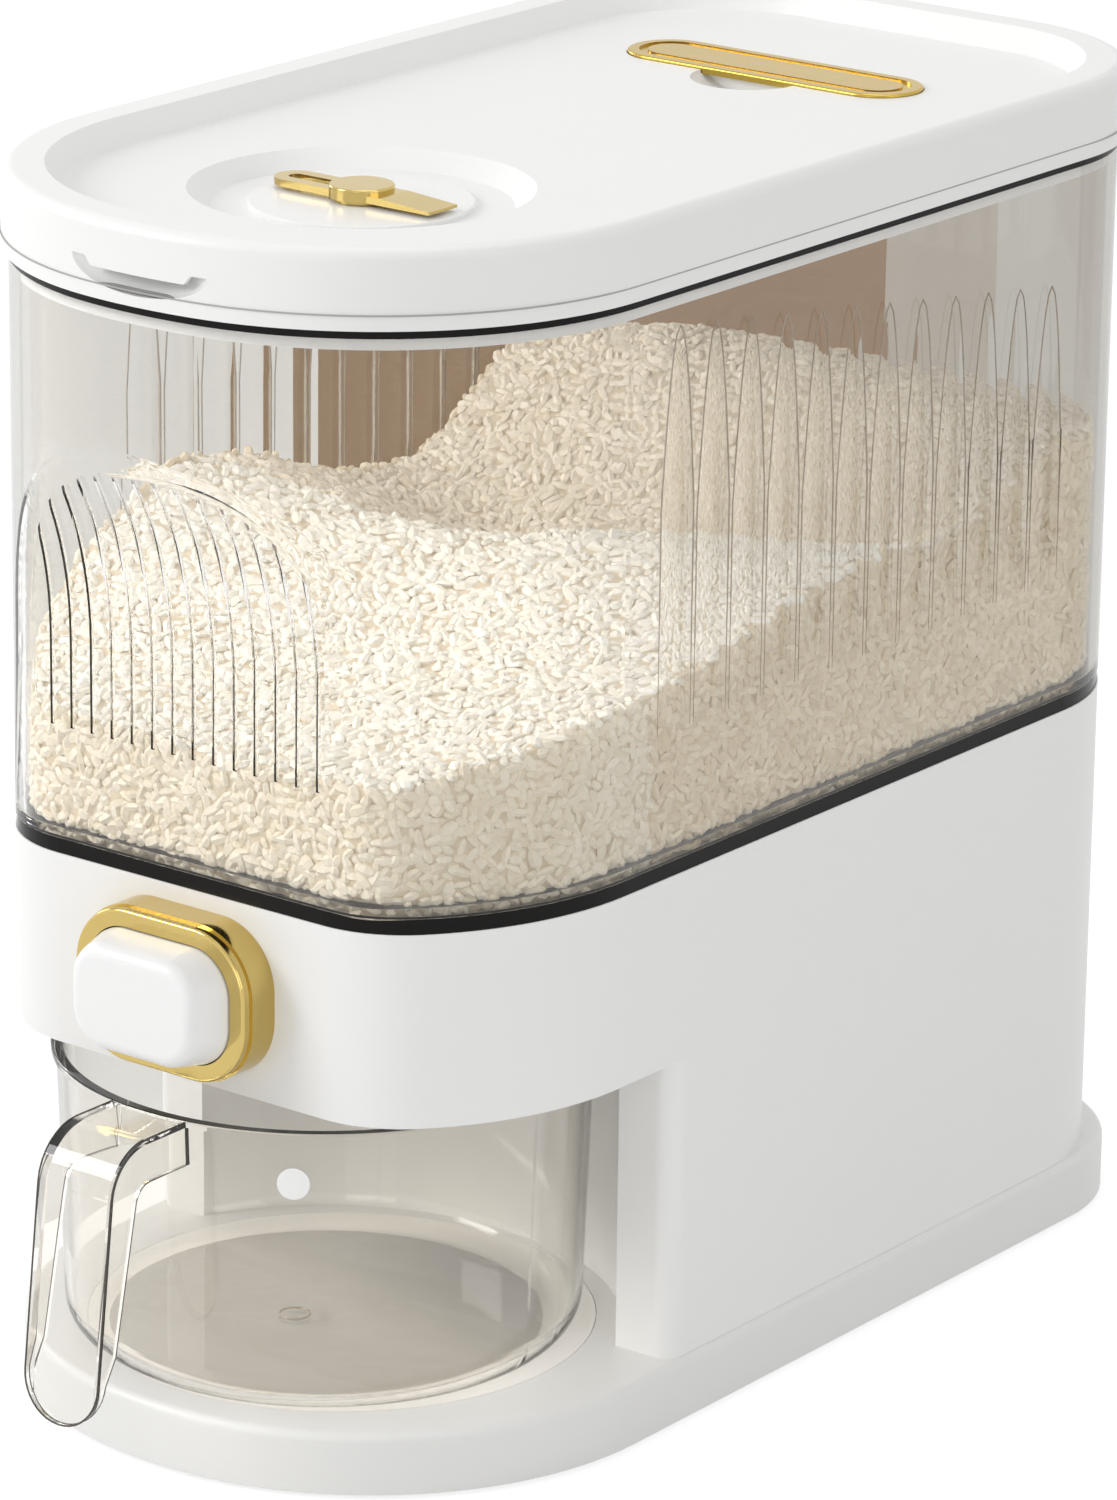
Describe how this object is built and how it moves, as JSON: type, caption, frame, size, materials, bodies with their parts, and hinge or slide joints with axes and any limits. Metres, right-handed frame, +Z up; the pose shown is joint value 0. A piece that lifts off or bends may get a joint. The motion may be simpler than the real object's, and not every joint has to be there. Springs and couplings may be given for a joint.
{
  "type": "rice dispenser",
  "caption": "Grain dispenser: hinged lid with key dial over a clear D-shaped bin, push-button sliding gate below it, and a round clear measuring cup that pulls out of a bay like a drawer.",
  "frame": {"origin": "under the middle of the whole object, handle included, on the plane that the feet stand on", "axes": "+Z up, front and handle towards -Y, +X to the right of someone who faces its back"},
  "size_m": [0.194, 0.402, 0.351],
  "materials": {
    "white_plastic": "satin white",
    "dial_white": "satin white",
    "dot_white": "satin white",
    "inner_plastic": "matte off-white",
    "pad_plastic": "matte off-white",
    "clear_plastic": "clear polished",
    "gold_plastic": "gold plated, satin",
    "grey_rubber": "matte dark grey",
    "black_rubber": "matte black",
    "silicone": "translucent silicone",
    "steel": "plain"
  },
  "bodies": {
    "dispenser": {"base_plate": "white_plastic", "foot_pads": "black_rubber", "cup_pad": "pad_plastic", "base_screws": "steel", "housing_shell": "white_plastic", "button_bezel": "gold_plastic", "gate_guide": "inner_plastic", "guide_screws": "steel", "hopper_funnel": "inner_plastic", "bin_gasket": "grey_rubber", "bin_shell": "clear_plastic", "frame_seal": "black_rubber", "lid_frame": "white_plastic", "hinge_pin": "steel", "return_spring": "steel"},
    "lid_unit": {"lid": "white_plastic", "lid_seal": "silicone", "dial_disc": "dial_white", "desiccant_box": "inner_plastic"},
    "cover": {"desiccant_cover": "gold_plastic"},
    "key": {"key_bow": "gold_plastic", "key_knob": "gold_plastic", "key_collar": "gold_plastic", "key_shaft": "steel", "key_o_ring": "black_rubber", "key_washer": "steel", "key_clip": "steel"},
    "cup": {"cup_body": "clear_plastic", "cup_handle": "clear_plastic", "cup_dot": "dot_white"},
    "button": {"button_cap": "white_plastic", "gate_plate": "inner_plastic", "cap_screw": "steel"}
  },
  "joints": [
    {"name": "lid_hinge", "type": "hinge", "parent": "dispenser", "child": "lid_unit", "pos_m": [0, 0.1947, 0.34], "axis": [-1, 0, 0], "range_deg": [0, 95]},
    {"name": "cover_lift", "type": "slide", "parent": "lid_unit", "child": "cover", "axis": [0, 0, 1], "range_m": [0, 0.06]},
    {"name": "key_turn", "type": "hinge", "parent": "lid_unit", "child": "key", "pos_m": [0, -0.0725, 0.341], "axis": [0, 0, 1], "range_deg": [0, 90]},
    {"name": "cup_slide", "type": "slide", "parent": "dispenser", "child": "cup", "axis": [0, -1, 0], "range_m": [0, 0.2]},
    {"name": "button_press", "type": "slide", "parent": "dispenser", "child": "button", "axis": [0, 1, 0], "range_m": [0, 0.0115], "stiffness_N_per_m": 120, "springref_m": -0.02, "deforming": ["return_spring"]}
  ]
}
